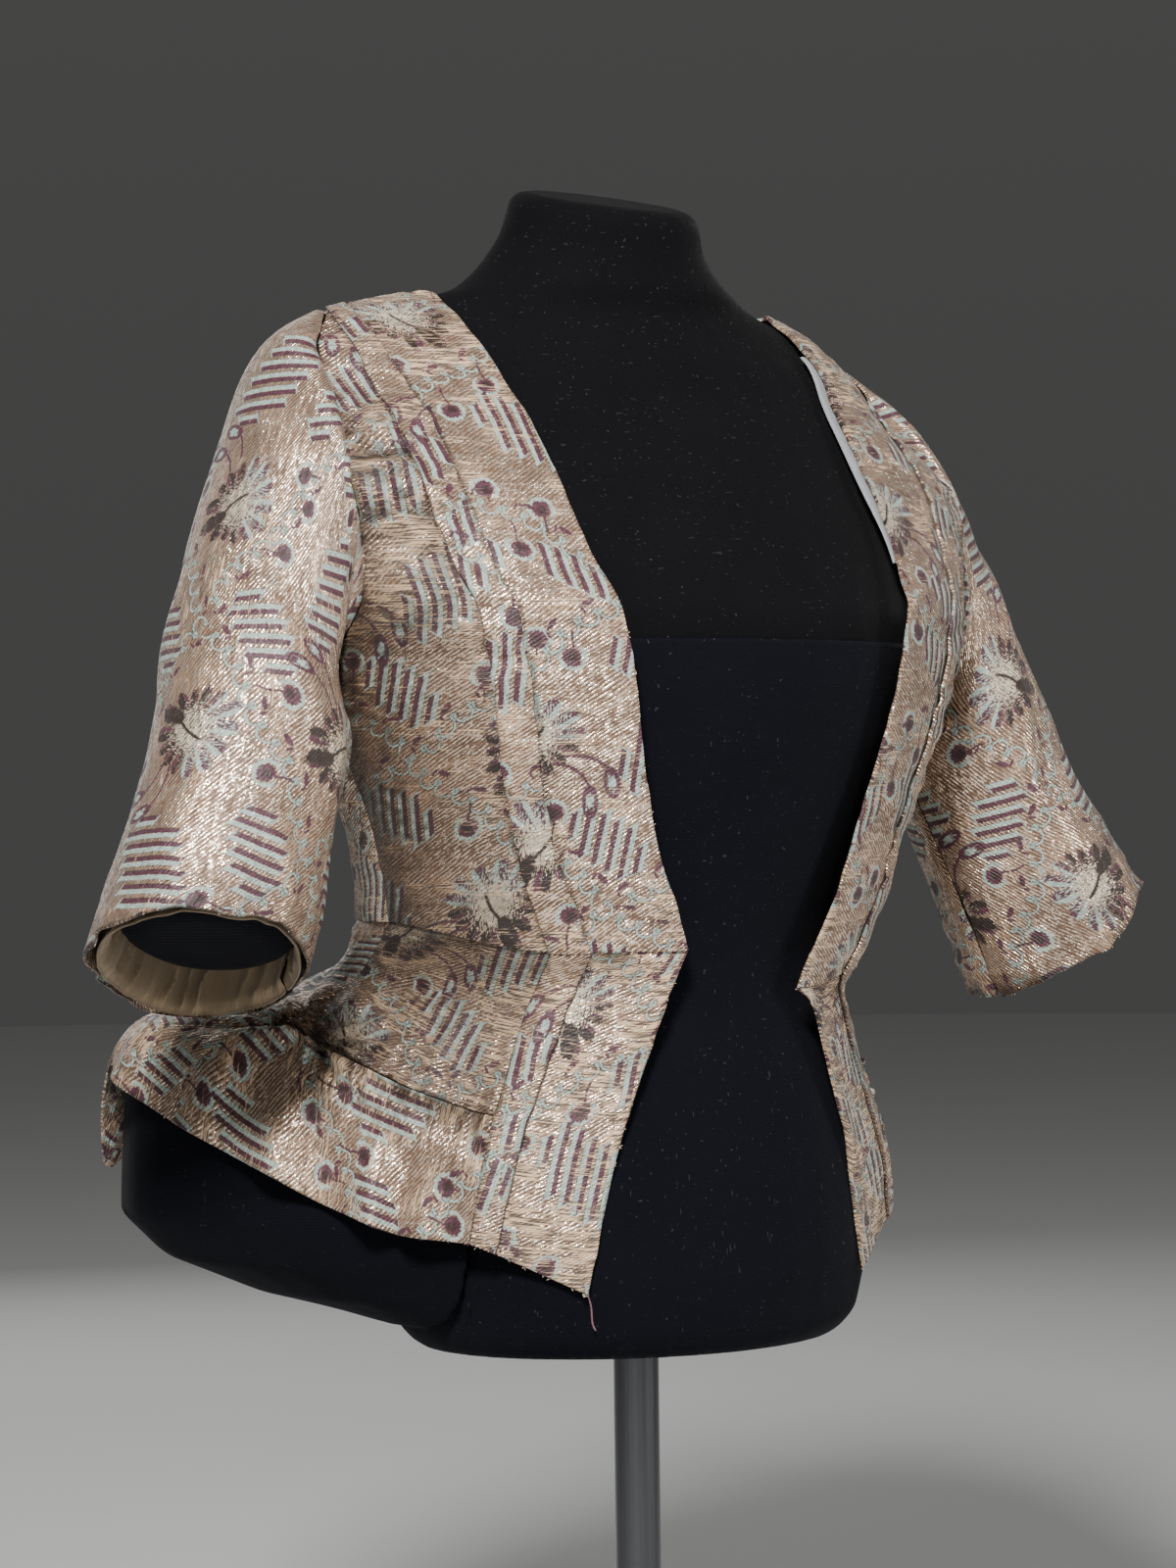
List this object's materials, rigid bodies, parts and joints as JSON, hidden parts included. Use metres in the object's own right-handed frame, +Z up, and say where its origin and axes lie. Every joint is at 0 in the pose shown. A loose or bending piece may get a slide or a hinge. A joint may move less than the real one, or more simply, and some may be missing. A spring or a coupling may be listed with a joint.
{
  "type": "bodice on dress form",
  "caption": "Fitted brocade bodice with elbow sleeves, robings and a flared hip flounce, worn open at the front on a limbless dress form with a steel stand.",
  "frame": {"origin": "centre of the base plate's underside, on the pole's axis", "axes": "+Z up, the figure faces -Y and its left side is +X"},
  "size_m": [0.678, 0.4278, 0.9449],
  "materials": {
    "brocade": "figured silk with a metallic sparkle, worn on the fronts",
    "neck_lining": "plain pale linen weave",
    "cuff_lining": "plain tan weave with small gathers",
    "felt": "near-black felt with lint",
    "jersey": "navy-black jersey knit, matt",
    "pad_cover": "navy-black stretch cover, matt",
    "steel": "polished along its length",
    "base_steel": "satin"
  },
  "bodies": {
    "root": {"back_right": "brocade", "side_front_right": "brocade", "front_right": "brocade", "robing_right": "brocade", "sleeve_right": "brocade", "sleeve_lining_right": "cuff_lining", "skirt_front_right": "brocade", "skirt_robing_right": "brocade", "hip_yoke_right": "brocade", "flounce_right": "brocade", "skirt_back_right": "brocade", "arm_pad_right": "pad_cover", "back_left": "brocade", "side_front_left": "brocade", "front_left": "brocade", "robing_left": "brocade", "sleeve_left": "brocade", "sleeve_lining_left": "cuff_lining", "skirt_front_left": "brocade", "skirt_robing_left": "brocade", "hip_yoke_left": "brocade", "flounce_left": "brocade", "skirt_back_left": "brocade", "arm_pad_left": "pad_cover", "neck_lining_left": "neck_lining", "form_torso": "felt", "form_jersey": "jersey", "rump_pad": "pad_cover", "pole": "steel", "base_plate": "base_steel"}
  },
  "joints": []
}
